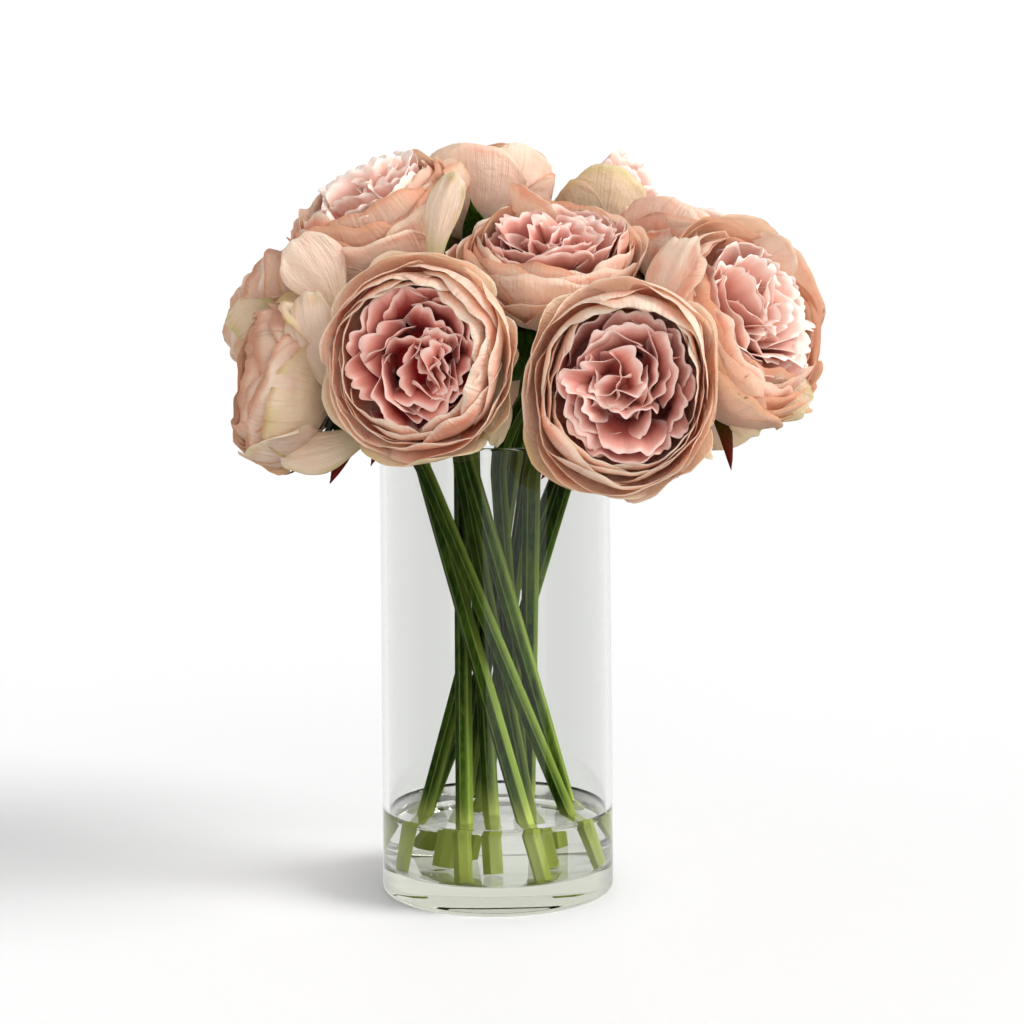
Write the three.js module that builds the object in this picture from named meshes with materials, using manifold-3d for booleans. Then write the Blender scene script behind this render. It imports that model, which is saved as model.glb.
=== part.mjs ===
// Peonies in a glass cylinder vase: thirteen full blooms on crossing stems that stand in a little water.
// Millimetres, +Z up. The origin is the centre of the vase's flat underside.
// Each bloom is a cup of broad outer petals, a heart of narrow ruffled petals, and a stem with its calyx.
import * as THREE from "three";
import { mergeVertices } from "three/addons/utils/BufferGeometryUtils.js";
import Module from "manifold-3d";

const wasm = await Module();
wasm.setup();

// ---- Driving dimensions ----

const VASE_RADIUS = 52.5;
const VASE_HEIGHT = 200;
const WALL = 3;
const FLOOR = 12; // thickness of the solid glass foot
const FOOT_BEVEL = 1.2;
const VASE_SEGMENTS = 36;
const WATER_LEVEL = 36;
const GAP = 0.3; // running gap between pieces that touch

const STEM_RADIUS = 3.85;
const STEM_SIDES = 6;
const WAIST_HEIGHT = 112; // where the crossing stems come closest together
const WAIST_RADIUS = 15.2; // of the outer ring of stems there
const SPREAD = 0.404; // outward run of an outer stem for each unit of height, far from the waist
const BEND_HEIGHT = 186; // straight below this, curved towards the bloom above it
const BEND_STEPS = 6;
const NECK_PULL = 0.36; // of a bend's handles, as a share of the distance that it covers

const BLADE = 0.8; // thickness of every petal and sepal
const SLIVER = 0.1; // detail smaller than this is merged away where solids are joined
const CENTRE_HEIGHT = 0.72; // of a bloom's middle above its calyx, as a share of its radius
const POLE_SHARE = 0.76; // of a bloom's half height to its radius
const CELL_GAP = 0.7; // kept on each side of the plane where two blooms press together
const RIM_GAP = 2; // kept between a bloom and the vase
const PRESS_POWER = 10; // how sharply a bloom gives way where it presses against a neighbour

const CALYX_RADIUS = 8;
const CALYX_THICKNESS = 2;
const CALYX_NECK = 6; // from the calyx's top down to the end of the plain stem
const PAD_RADIUS = 9.4; // of the pad that the cup petals grow from
const PAD_SIDES = 8; // one for each cup petal
const PAD_SHARE = 0.25; // of the pad's height to its bloom's radius
const BUD_SIDES = 6; // of the smaller core that the heart petals stand out of

// One row for each bloom: its middle, the way it faces, its radius, its turn about that way, how far its
// cup petals close over (degrees above the widest ring), how far its heart rises, and its stem's number.
const BLOOMS = [
  { at: [-30, -85, 237], facing: [-0.14, -0.99, -0.02], radius: 41, turn: 20, close: 32, lift: 0.9, stem: 5 },
  { at: [55, -90, 224], facing: [-0.05, -0.99, -0.08], radius: 44, turn: 75, close: 32, lift: 0.9, stem: 6 },
  { at: [27, -38, 284], facing: [0.02, -0.52, 0.86], radius: 44, turn: 10, close: 34, lift: 1.0, stem: 12 },
  { at: [-53, -18, 306], facing: [-0.42, -0.4, 0.82], radius: 42, turn: 130, close: 28, lift: 1.25, stem: 11 },
  { at: [-102, 19, 274], facing: [-0.86, -0.22, 0.46], radius: 37, turn: 45, close: 28, lift: 1.1, stem: 3 },
  { at: [-96, -42, 227], facing: [-0.9, -0.3, 0.2], radius: 38, turn: 100, close: 30, lift: 1.0, stem: 4 },
  { at: [107, -44, 254], facing: [0.62, -0.72, 0.3], radius: 46, turn: 150, close: 28, lift: 1.2, stem: 7 },
  { at: [-6, 42, 320], facing: [-0.05, 0.36, 0.93], radius: 41, turn: 60, close: 30, lift: 1.1, stem: 10 },
  { at: [55, 54, 312], facing: [0.18, 0.46, 0.87], radius: 36, turn: 25, close: 30, lift: 1.2, stem: 9 },
  { at: [92, 15, 292], facing: [0.5, 0.1, 0.86], radius: 39, turn: 80, close: 30, lift: 1.2, stem: 8 },
  { at: [101, 54, 236], facing: [0.84, 0.48, 0.24], radius: 39, turn: 15, close: 32, lift: 1.0, stem: 0 },
  { at: [31, 100, 252], facing: [0.3, 0.9, 0.3], radius: 42, turn: 120, close: 32, lift: 1.0, stem: 1 },
  { at: [-54, 87, 252], facing: [-0.48, 0.83, 0.28], radius: 42, turn: 90, close: 32, lift: 1.0, stem: 2 },
];
// Stems 0 to 7 make the outer ring and stems 8 to 12 the inner one.
const OUTER_RING = { first: 0, stems: 8, share: 1, firstAngle: 92 };
const INNER_RING = { first: 8, stems: 5, share: 0.46, firstAngle: 52 };

// Petal layers, from the outside in. Angles are in degrees and lengths are shares of the bloom's radius,
// apart from tuck, wave and lip, which are millimetres. spread is half a petal's width round the bloom;
// depth and rise are the layer's reach below and above the bloom's widest ring; from and to are the climb
// of a petal's base and tip, counted from that ring.
const GUARD = {
  count: 4, spread: 48, girth: 1, depth: 0.68, rise: 0.67, from: -80, to: 16,
  tuck: 2, wave: 0.8, lip: 4, across: 3, along: 3,
};
const CUP = {
  count: 4, spread: 48, girth: 0.88, depth: 0.61, rise: 0.64, from: -79, to: 32,
  tuck: 2, wave: 0.7, lip: 1, across: 3, along: 3,
};
const HEART_OUTER = {
  count: 4, spread: 46, girth: 0.67, depth: 0.41, rise: 0.46, from: -72, to: 46,
  tuck: 1.2, wave: 1.4, lip: 0, across: 2, along: 2,
};
const HEART_INNER = {
  count: 3, spread: 46, girth: 0.4, depth: 0.35, rise: 0.5, from: -60, to: 52,
  tuck: 2, wave: 1.6, lip: 0, across: 2, along: 2,
};
// A sepal hugs the outer petals at the distance clear, and flares away from them towards its tip.
// Its length is an angle over the bloom, at least shortest, with a random part of spare on top.
const SEPAL = {
  count: 4, halfWidth: 7.4, from: -84, shortest: 40, spare: 22, clear: 2.6, flare: 3, flatness: 0.74,
  across: 2, along: 2,
};
const SEPAL_ROOM = 1.5; // that petals leave for sepals where blooms press together

const COLOURS = {
  cup: { color: 0xe2b292, roughness: 0.75 },
  heart: { color: 0xd49c95, roughness: 0.75 },
  stem: { color: 0x5a7526, roughness: 0.55 },
  glass: { color: 0xe8efec, roughness: 0.03, transparent: true, opacity: 0.3 },
  water: { color: 0xe4ece4, roughness: 0.02, transparent: true, opacity: 0.4 },
};

// ---- Small helpers ----

const radians = THREE.MathUtils.degToRad;
const vector = (x, y, z) => new THREE.Vector3(x, y, z);

// A repeatable stream of numbers from 0 to 1.
function seeded(seed) {
  let state = seed >>> 0;
  return () => {
    state = (Math.imul(state, 1664525) + 1013904223) >>> 0;
    return state / 4294967296;
  };
}

// A closed geometry as a solid that can be joined and cut.
function solidOf(geometry) {
  const bare = geometry.clone();
  bare.deleteAttribute("normal");
  bare.deleteAttribute("uv");
  const merged = mergeVertices(bare, 1e-4);
  return new wasm.Manifold(
    new wasm.Mesh({
      numProp: 3,
      vertProperties: new Float32Array(merged.attributes.position.array),
      triVerts: new Uint32Array(merged.index.array),
    }),
  );
}

// Solids joined into one body, without loose scraps and slivers.
function joined(solids) {
  const bodies = solids.reduce((all, next) => all.add(next)).decompose();
  const [largest] = bodies.sort((a, b) => b.volume() - a.volume());
  return largest.asOriginal().simplify(SLIVER);
}

function meshOf(solid, name, look) {
  const { numProp, numVert, vertProperties, triVerts } = solid.getMesh();
  const places = new Float32Array(numVert * 3);
  for (let i = 0; i < numVert; i++) {
    places.set(vertProperties.subarray(i * numProp, i * numProp + 3), i * 3);
  }
  const geometry = new THREE.BufferGeometry();
  geometry.setAttribute("position", new THREE.BufferAttribute(places, 3));
  geometry.setIndex(new THREE.BufferAttribute(new Uint32Array(triVerts), 1));
  const flat = geometry.toNonIndexed();
  flat.computeVertexNormals();
  const mesh = new THREE.Mesh(flat, new THREE.MeshStandardMaterial(look));
  mesh.name = name;
  return mesh;
}

// A thin closed blade on a surface: at(s, t) is its middle, s from -1 to 1 across and t from 0 to 1 along.
// Both faces are split into triangles alike.
function blade(at, across, along) {
  const step = 0.02; // over which a slope is measured
  const corners = (across + 1) * (along + 1);
  const places = new Float32Array(corners * 6);
  for (let j = 0; j <= along; j++) {
    for (let i = 0; i <= across; i++) {
      const s = (2 * i) / across - 1;
      const t = j / along;
      const slopeS = at(s + step, t).sub(at(s - step, t));
      const slopeT = at(s, t + step).sub(at(s, t - step));
      const half = slopeS.cross(slopeT).setLength(BLADE / 2);
      const middle = at(s, t);
      const n = j * (across + 1) + i;
      middle.clone().add(half).toArray(places, n * 3);
      middle.clone().sub(half).toArray(places, (corners + n) * 3);
    }
  }
  const faces = [];
  const quad = (a, b, c, d) => faces.push(a, b, c, a, c, d);
  for (let j = 0; j < along; j++) {
    for (let i = 0; i < across; i++) {
      const a = j * (across + 1) + i;
      const [b, c, d] = [a + 1, a + across + 2, a + across + 1];
      quad(a, b, c, d);
      faces.push(corners + a, corners + c, corners + b, corners + a, corners + d, corners + c);
    }
  }
  const edge = (a, b) => quad(b, a, corners + a, corners + b);
  for (let i = 0; i < across; i++) {
    edge(i, i + 1);
    const top = along * (across + 1) + i;
    edge(top + 1, top);
  }
  for (let j = 0; j < along; j++) {
    const left = j * (across + 1);
    edge(left + across + 1, left);
    edge(left + across, left + 2 * across + 1);
  }
  const geometry = new THREE.BufferGeometry();
  geometry.setAttribute("position", new THREE.BufferAttribute(places, 3));
  geometry.setIndex(faces);
  return solidOf(geometry);
}

// A closed tube through points, with a radius for each and flat ends. level makes the first end level.
function tube(points, radii, level) {
  const places = [];
  let side = vector(1, 0, 0);
  points.forEach((point, k) => {
    const next = points[Math.min(k + 1, points.length - 1)];
    const last = points[Math.max(k - 1, 0)];
    const ahead = next.clone().sub(last).normalize();
    side = side.sub(ahead.clone().multiplyScalar(side.dot(ahead))).normalize();
    const other = ahead.clone().cross(side);
    for (let i = 0; i < STEM_SIDES; i++) {
      const angle = (2 * Math.PI * i) / STEM_SIDES;
      const corner = point
        .clone()
        .addScaledVector(side, radii[k] * Math.cos(angle))
        .addScaledVector(other, radii[k] * Math.sin(angle));
      if (level && k === 0) corner.addScaledVector(ahead, (point.z - corner.z) / ahead.z);
      places.push(...corner.toArray());
    }
  });
  const faces = [];
  for (let k = 0; k < points.length - 1; k++) {
    for (let i = 0; i < STEM_SIDES; i++) {
      const a = k * STEM_SIDES + i;
      const b = k * STEM_SIDES + ((i + 1) % STEM_SIDES);
      faces.push(a, b, b + STEM_SIDES, a, b + STEM_SIDES, a + STEM_SIDES);
    }
  }
  const end = (points.length - 1) * STEM_SIDES;
  for (let i = 1; i < STEM_SIDES - 1; i++) {
    faces.push(0, i + 1, i, end, end + i, end + i + 1);
  }
  const geometry = new THREE.BufferGeometry();
  geometry.setAttribute("position", new THREE.BufferAttribute(new Float32Array(places), 3));
  geometry.setIndex(faces);
  return solidOf(geometry);
}

function lathe(profile, segments) {
  const points = profile.map(([r, z]) => new THREE.Vector2(r, z));
  return new THREE.LatheGeometry(points, segments).rotateX(Math.PI / 2);
}

// ---- Vase and water ----

function makeVase() {
  const inside = VASE_RADIUS - WALL;
  const profile = [
    [0, 0],
    [VASE_RADIUS - FOOT_BEVEL, 0],
    [VASE_RADIUS, FOOT_BEVEL],
    [VASE_RADIUS, VASE_HEIGHT - WALL / 3],
    [VASE_RADIUS - WALL / 3, VASE_HEIGHT],
    [inside + WALL / 3, VASE_HEIGHT],
    [inside, VASE_HEIGHT - WALL / 3],
    [inside, FLOOR + 2],
    [inside - 2, FLOOR],
    [0, FLOOR],
  ];
  return solidOf(lathe(profile, VASE_SEGMENTS));
}

function makeWater(stems) {
  const radius = VASE_RADIUS - WALL - GAP;
  const bottom = FLOOR + GAP;
  const profile = [
    [0, bottom],
    [radius - 2, bottom],
    [radius, bottom + 2],
    [radius, WATER_LEVEL],
    [0, WATER_LEVEL],
  ];
  const holeRadius = STEM_RADIUS + GAP / Math.cos(Math.PI / STEM_SIDES);
  const overshoot = 8; // of each hole past the water's two faces
  const body = solidOf(lathe(profile, VASE_SEGMENTS));
  return stems.reduce((water, stem) => {
    const ends = [stem.at(FLOOR - overshoot), stem.at(WATER_LEVEL + overshoot)];
    return water.subtract(tube(ends, [holeRadius, holeRadius], false));
  }, body);
}

// ---- Blooms ----

// The bloom's own frame: its calyx is at the origin and it faces +Z.
function bloomFrame(bloom) {
  const facing = vector(...bloom.facing).normalize();
  const centre = vector(...bloom.at);
  const turn = new THREE.Quaternion()
    .setFromUnitVectors(vector(0, 0, 1), facing)
    .multiply(new THREE.Quaternion().setFromAxisAngle(vector(0, 0, 1), radians(bloom.turn)));
  const calyx = centre.clone().addScaledVector(facing, -CENTRE_HEIGHT * bloom.radius);
  const matrix = new THREE.Matrix4().compose(calyx, turn, vector(1, 1, 1));
  return { facing, centre, calyx, matrix };
}

// The planes that a bloom stays behind: one halfway to each neighbour, by radius, and one at the vase.
function wallsOf(bloom) {
  const centre = vector(...bloom.at);
  const walls = [];
  for (const other of BLOOMS) {
    if (other === bloom) continue;
    const apart = vector(...other.at).sub(centre);
    const distance = apart.length();
    const touching = bloom.radius + other.radius;
    if (distance > 1.3 * touching) continue;
    const reach = (distance * bloom.radius) / touching - CELL_GAP;
    walls.push({ normal: apart.divideScalar(distance), reach });
  }
  const out = Math.hypot(centre.x, centre.y);
  const edge = vector(
    (centre.x / out) * Math.min(out, VASE_RADIUS),
    (centre.y / out) * Math.min(out, VASE_RADIUS),
    Math.min(centre.z, VASE_HEIGHT),
  ).sub(centre);
  const distance = edge.length();
  walls.push({ normal: edge.divideScalar(distance), reach: distance - RIM_GAP });
  return walls;
}

// Draws a point in towards the bloom's middle, so that petals press against a neighbour and never cross it.
// Every point on one ray from the middle is drawn in by the same share, which keeps the layers in order.
function settler(bloom, facing) {
  const centre = vector(...bloom.at);
  const walls = wallsOf(bloom);
  return (point, margin) => {
    const arm = point.clone().sub(centre);
    const length = arm.length();
    const along = arm.dot(facing) / length;
    const extent = (bloom.radius + 2) / Math.sqrt(1 - along ** 2 + (along / POLE_SHARE) ** 2);
    let nearest = Infinity;
    let crowding = 1;
    for (const { normal, reach } of walls) {
      const cosine = arm.dot(normal) / length;
      if (cosine < 0.02) continue;
      nearest = Math.min(nearest, (reach - margin) / cosine);
      crowding += ((extent * cosine) / reach) ** PRESS_POWER;
    }
    const share = Math.min(crowding ** (-1 / PRESS_POWER), nearest / length);
    return centre.clone().addScaledVector(arm, share);
  };
}

// A petal's middle surface in the bloom's own frame.
function petalSurface(layer, radius, angle, chance) {
  const { spread, girth, depth, rise, from, to, tuck, wave, lip } = layer;
  const phase = 2 * Math.PI * chance();
  const reach = 1 + 0.07 * (chance() - 0.5);
  return (s, t) => {
    const width = 0.36 + 0.64 * THREE.MathUtils.smoothstep(t, 0, 0.6);
    const rounded = 1 - 0.13 * Math.abs(s) ** 3 * t * t;
    const climb = radians(from + (to - from) * t * reach * rounded);
    const round = angle + radians(spread) * width * s;
    const ripple = wave * t * t * Math.sin(2.2 * Math.PI * s + phase);
    const out = radius * girth * Math.cos(climb) + tuck * s + ripple + lip * t ** 6;
    const up = radius * (CENTRE_HEIGHT + (climb < 0 ? depth : rise) * Math.sin(climb));
    return vector(out * Math.cos(round), out * Math.sin(round), up);
  };
}

function petals(layer, bloom, place, chance, offset) {
  const made = [];
  for (let k = 0; k < layer.count; k++) {
    const angle = (2 * Math.PI * (k + offset)) / layer.count;
    const surface = petalSurface(layer, bloom.radius, angle, chance);
    made.push(blade((s, t) => place(surface(s, t)), layer.across, layer.along));
  }
  return made;
}

function makeCup(bloom, frame, place, chance) {
  const profile = [
    [0, GAP],
    [PAD_RADIUS, GAP],
    [PAD_RADIUS, bloom.radius * PAD_SHARE],
    [0, bloom.radius * PAD_SHARE],
  ];
  const pad = lathe(profile, PAD_SIDES).rotateZ(Math.PI / PAD_SIDES).applyMatrix4(frame.matrix);
  return joined([
    solidOf(pad),
    ...petals(GUARD, bloom, place, chance, 0),
    ...petals({ ...CUP, to: bloom.close }, bloom, place, chance, 0.5),
  ]);
}

function makeHeart(bloom, frame, place, chance) {
  const { radius, lift } = bloom;
  const bottom = radius * PAD_SHARE + GAP;
  const middle = radius * CENTRE_HEIGHT;
  const profile = [
    [0, bottom],
    [radius * 0.2, bottom],
    [radius * 0.34, middle - 4],
    [0, middle + 4],
  ];
  const bud = lathe(profile, BUD_SIDES).applyMatrix4(frame.matrix);
  const lifted = (layer) => ({ ...layer, rise: layer.rise * lift });
  return joined([
    solidOf(bud),
    ...petals(lifted(HEART_OUTER), bloom, place, chance, 0.25),
    ...petals(lifted(HEART_INNER), bloom, place, chance, 0),
  ]);
}

// ---- Stems ----

// A stem is a straight line that leans round the axis, and it bends above the rim. share is an inner stem's
// distance from the axis against an outer one's.
function stemPath(bloom, frame) {
  const ring = bloom.stem < INNER_RING.first ? OUTER_RING : INNER_RING;
  const turn = radians(ring.firstAngle + (360 / ring.stems) * (bloom.stem - ring.first));
  const waist = vector(Math.cos(turn), Math.sin(turn), 0).multiplyScalar(WAIST_RADIUS * ring.share);
  const lean = vector(Math.sin(turn), -Math.cos(turn), 0).multiplyScalar(SPREAD * ring.share).setZ(1);
  const at = (z) => waist.clone().addScaledVector(lean, z - WAIST_HEIGHT).setZ(z);
  const start = at(BEND_HEIGHT);
  const end = frame.calyx.clone().addScaledVector(frame.facing, -CALYX_NECK);
  const pull = start.distanceTo(end) * NECK_PULL;
  const bend = new THREE.CubicBezierCurve3(
    start,
    start.clone().addScaledVector(lean.clone().normalize(), pull),
    end.clone().addScaledVector(frame.facing, -pull),
    end,
  );
  return { at, bend };
}

// A sepal's middle surface in the bloom's own frame: a pointed blade that hugs the outer petals.
function sepalSurface(radius, angle, length) {
  return (s, t) => {
    const climb = radians(SEPAL.from + length * t);
    const side = SEPAL.halfWidth * s * Math.sin(Math.PI * (0.1 + 0.88 * t));
    const reach = radius + SEPAL.clear + SEPAL.flare * t;
    const out = reach * Math.cos(climb);
    const up = radius * CENTRE_HEIGHT + SEPAL.flatness * reach * Math.sin(climb);
    return vector(
      out * Math.cos(angle) - side * Math.sin(angle),
      out * Math.sin(angle) + side * Math.cos(angle),
      up,
    );
  };
}

// A stem widens into the calyx that the petals and sepals stand on.
function makeStem(bloom, frame, place, path, chance) {
  const neck = path.bend.getPoints(BEND_STEPS);
  const calyx = [-CALYX_THICKNESS, 0].map((height) => vector(0, 0, height).applyMatrix4(frame.matrix));
  const points = [path.at(FLOOR + GAP), ...neck, ...calyx];
  const radii = points.map((_, k) => (k > neck.length ? CALYX_RADIUS : STEM_RADIUS));
  const sepals = [];
  for (let k = 0; k < SEPAL.count; k++) {
    const angle = (2 * Math.PI * (k + 0.5 * chance())) / SEPAL.count;
    const surface = sepalSurface(bloom.radius, angle, SEPAL.shortest + SEPAL.spare * chance());
    sepals.push(blade((s, t) => place(surface(s, t)), SEPAL.across, SEPAL.along));
  }
  return joined([tube(points, radii, true), ...sepals]);
}

// ---- Assembly ----

const arrangement = new THREE.Group();
const paths = [];

BLOOMS.forEach((bloom, index) => {
  const chance = seeded(4001 + 77 * index);
  const frame = bloomFrame(bloom);
  const settle = settler(bloom, frame.facing);
  const place = (point) => settle(point.applyMatrix4(frame.matrix), SEPAL_ROOM);
  const placeSepal = (point) => settle(point.applyMatrix4(frame.matrix), 0);
  const path = stemPath(bloom, frame);
  const number = String(index + 1).padStart(2, "0");
  paths.push(path);
  arrangement.add(
    meshOf(makeCup(bloom, frame, place, chance), "cup_petals_" + number, COLOURS.cup),
    meshOf(makeHeart(bloom, frame, place, chance), "heart_petals_" + number, COLOURS.heart),
    meshOf(makeStem(bloom, frame, placeSepal, path, chance), "stem_" + number, COLOURS.stem),
  );
});
arrangement.add(
  meshOf(makeVase(), "vase", COLOURS.glass),
  meshOf(makeWater(paths), "water", COLOURS.water),
);

export default arrangement;
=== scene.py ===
"""Peonies in a glass cylinder vase: cloth petals, ribbed stems, clear glass and a little water."""
import math

import bpy
import numpy as np
from mathutils import Matrix, Quaternion, Vector


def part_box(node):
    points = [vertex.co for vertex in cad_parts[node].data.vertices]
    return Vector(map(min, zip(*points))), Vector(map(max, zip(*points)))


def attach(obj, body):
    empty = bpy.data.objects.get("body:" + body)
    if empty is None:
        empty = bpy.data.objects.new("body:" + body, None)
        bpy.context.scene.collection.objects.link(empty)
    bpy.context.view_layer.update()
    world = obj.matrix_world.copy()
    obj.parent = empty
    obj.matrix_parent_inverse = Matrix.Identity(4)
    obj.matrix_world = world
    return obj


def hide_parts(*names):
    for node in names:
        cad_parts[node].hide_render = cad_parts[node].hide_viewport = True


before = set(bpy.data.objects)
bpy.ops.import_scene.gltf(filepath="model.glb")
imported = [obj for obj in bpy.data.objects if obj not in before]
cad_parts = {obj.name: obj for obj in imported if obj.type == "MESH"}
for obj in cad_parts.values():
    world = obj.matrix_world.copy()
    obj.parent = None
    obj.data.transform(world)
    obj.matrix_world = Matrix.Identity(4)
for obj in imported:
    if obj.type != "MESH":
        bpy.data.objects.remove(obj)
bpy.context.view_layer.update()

MM = 0.001

# ---- Sizes, in millimetres ----

vase_low, vase_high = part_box("vase")
VASE_RADIUS = (vase_high.x - vase_low.x) / 2 / MM
VASE_HEIGHT = vase_high.z / MM
WATER_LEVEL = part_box("water")[1].z / MM
WALL = 3
FLOOR = 12  # thickness of the solid foot
HEEL = 2.0  # rounding of the bore's lower corner
ROUND_SIDES = 144  # of the vase and the water
GAP = 0.3  # between pieces that touch

STEM_RADIUS = 3.85
STEM_SIDES = 48
STEM_RIBS = 6
RIB_DEPTH = 0.16  # as a share of the stem's radius
WAIST_HEIGHT = 112  # where the crossing stems come closest together
WAIST_RADIUS = 15.2  # of the outer ring of stems there
SPREAD = 0.404  # outward run of an outer stem for each unit of height
BEND_HEIGHT = 186  # straight below this, curved above it
NECK_PULL = 0.36  # of the curve's handles, as a share of the distance that it covers
CALYX_NECK = 6  # from the calyx down to the end of the plain stem
PAINTED_LIT_SIDE = np.array([0.83, -0.24, 0.5])  # the way that the stem's painted lit side faces, towards the key sun

CENTRE_HEIGHT = 0.72  # of a bloom's middle above its calyx, as a share of its radius
POLE_SHARE = 0.76  # of a bloom's half height to its radius
CELL_GAP = 0.7  # kept on each side of the plane where two blooms press together
RIM_GAP = 2  # kept between a bloom and the vase
PRESS_POWER = 10  # how sharply a bloom gives way to a neighbour
SEPAL_ROOM = 1.0  # that the outermost cup layer keeps from those planes, for the sepals
LAYER_ROOM = 0.7  # more for each layer further in
HEART_ROOM = 5.0  # that the heart keeps from them
PAD_SHARE = 0.25  # height of the pad under the petals, as a share of the bloom's radius
HOOD_CLIMB = 10  # degrees that a hood of 1 adds to the climb of the cup petals on its side
CLOTH = 0.36  # thickness of a petal
LEAF = 0.6  # thickness of a sepal
SEPALS = 4
FIRST_SEED = 700  # each bloom draws from its own fixed seed

# One row for each bloom: its middle, the way it faces, its radius, its turn about that way, how far its cup
# petals close over (degrees), how far its heart rises and its stem's number. Colours run from 0 to 1: pink
# for the depth of its heart, peach for the salmon and moss for the yellow green of its cup, and tones for the
# range between fawn and cream that its cup petals draw from. drift moves the heart to one side, and hood
# closes the cup further on one side. held lists flat places where the bloom is pressed: which way, and how
# far from its middle. loose lists outer petals of their own: on which side, climb of the tip, spread, girth,
# lip, moss and peach.
BLOOMS = [
    dict(at=(-30, -85, 237), facing=(-0.14, -0.99, -0.02), radius=41, turn=20, close=32, lift=0.9, stem=5,
         pink=1.0, peach=0.6, moss=0.55, tones=(0.55, 1), drift=(0.3, 0, -0.14), hood=(0.8, 0, 0.3),
         loose=[((1, 0, -0.35), 4, 34, 1.03, 2, 0.9, 0.2), ((0.1, 0, -1), 14, 50, 1.04, 3, 0.9, 0.0)]),
    dict(at=(55, -90, 224), facing=(-0.05, -0.99, -0.08), radius=44, turn=75, close=32, lift=0.9, stem=6,
         pink=0.72, peach=0.5, moss=0.55, tones=(0.8, 1), drift=(-0.2, 0, 0.02), hood=(0.2, 0, 0),
         held=[((1, 0, 0), 36), ((1, 0, -1), 42)],
         loose=[((-0.8, 0, -0.6), 6, 44, 1.03, 2, 0.8, 0.15), ((0.5, 0, -1), 0, 40, 1.04, 3, 0.1, 0.7)]),
    dict(at=(27, -38, 284), facing=(0.02, -0.52, 0.86), radius=44, turn=10, close=22, lift=1.1, stem=12,
         pink=0.72, peach=0.3, moss=0.2, drift=(0.05, -0.3, -0.1),
         loose=[((-1, -0.3, 0), 4, 36, 1.05, 2, 0.1, 0.6), ((0.5, -1, -0.6), 6, 44, 1.04, 2, 0.0, 0.6)]),
    dict(at=(-53, -18, 306), facing=(-0.42, -0.4, 0.82), radius=42, turn=130, close=27, lift=1.14, stem=11,
         pink=0.15, peach=0.45, moss=0.5, drift=(0.2, 0, 0.1), hood=(-0.7, 0, 0),
         loose=[((1, -0.3, 0), 12, 30, 1.05, 1, 0.3, 0.3), ((0.1, -1, -0.6), 4, 40, 1.06, 3, 0.1, 0.6),
                ((-0.6, -0.8, -0.4), 2, 34, 1.05, 2, 0.2, 0.3)]),
    dict(at=(-102, 19, 274), facing=(-0.86, -0.22, 0.46), radius=37, turn=45, close=40, lift=0.95, stem=3,
         pink=0.3, peach=0.05, moss=0.5, tones=(0.25, 0.8), held=[((0.3, 0, 1), 19)],
         loose=[((0.5, -1, 0.2), 20, 38, 1.08, 2, 0.2, 0.0),
                ((-0.3, -0.8, -0.5), 10, 36, 1.05, 2, 0.7, 0.0)]),
    dict(at=(-96, -42, 227), facing=(-0.9, -0.3, 0.2), radius=38, turn=100, close=40, lift=0.85, stem=4,
         pink=0.5, peach=0.1, moss=0.8, tones=(0.1, 0.45), held=[((-1, 0, 0), 21), ((-0.7, 0, -1), 31)],
         loose=[((0.2, -0.4, -1), 22, 44, 0.98, 3, 0.45, 0.3),
                ((0.3, -0.6, 1), 20, 36, 1.05, 2, 0.9, 0.05)]),
    dict(at=(107, -44, 254), facing=(0.62, -0.72, 0.3), radius=46, turn=150, close=28, lift=1.2, stem=7,
         pink=0.28, peach=0.25, moss=0.8, tones=(0.1, 0.7), hood=(-0.3, 0, -1.0),
         loose=[((-1, -0.2, 0.3), 34, 34, 1.02, 1, 0.0, 0.7),
                ((-0.2, -0.4, -1), 24, 46, 1.04, 3, 0.3, 0.3), ((0.3, 0.2, 1), 22, 36, 1.04, 2, 0.5, 0.1),
                ((0.8, 0.6, 0.4), 22, 38, 1.02, 2, 0.1, 0.3)]),
    dict(at=(-6, 42, 320), facing=(-0.05, 0.36, 0.93), radius=41, turn=60, close=30, lift=1.1, stem=10,
         pink=0.5, peach=0.15, moss=0.3, tones=(0, 0.7)),
    dict(at=(55, 54, 312), facing=(0.18, 0.46, 0.87), radius=36, turn=25, close=20, lift=1.85, stem=9,
         pink=0.3, peach=0.1, moss=1, drift=(0.0, -0.2, 0.2), hood=(0, 1.2, 0), held=[((-1, 0, 1), 24)],
         loose=[((0, -1, 0), 5, 46, 1.06, 1, 0.9, 0.0)]),
    dict(at=(92, 15, 292), facing=(0.5, 0.1, 0.86), radius=39, turn=80, close=22, lift=1.35, stem=8,
         pink=0.2, peach=0.9, moss=0.2, held=[((0, 0, 1), 21)],
         loose=[((-0.6, -0.9, 0), 14, 40, 1.05, 2, 0.0, 0.8), ((0.5, -0.8, 0), 10, 34, 1.05, 2, 0.1, 0.6)]),
    dict(at=(101, 54, 236), facing=(0.84, 0.48, 0.24), radius=39, turn=15, close=32, lift=1.0, stem=0,
         pink=0.7, peach=0.5, moss=0.6),
    dict(at=(31, 100, 252), facing=(0.3, 0.9, 0.3), radius=42, turn=120, close=32, lift=1.0, stem=1,
         pink=0.9, peach=0.55, moss=0.5),
    dict(at=(-54, 87, 252), facing=(-0.48, 0.83, 0.28), radius=42, turn=90, close=32, lift=1.0, stem=2,
         pink=0.6, peach=0.35, moss=0.7),
]
# Stems stand in two rings. The inner one is drawn in by share. Angles are in degrees.
OUTER_RING = dict(first=0, stems=8, share=1.0, first_angle=92)
INNER_RING = dict(first=8, stems=5, share=0.46, first_angle=52)

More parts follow.
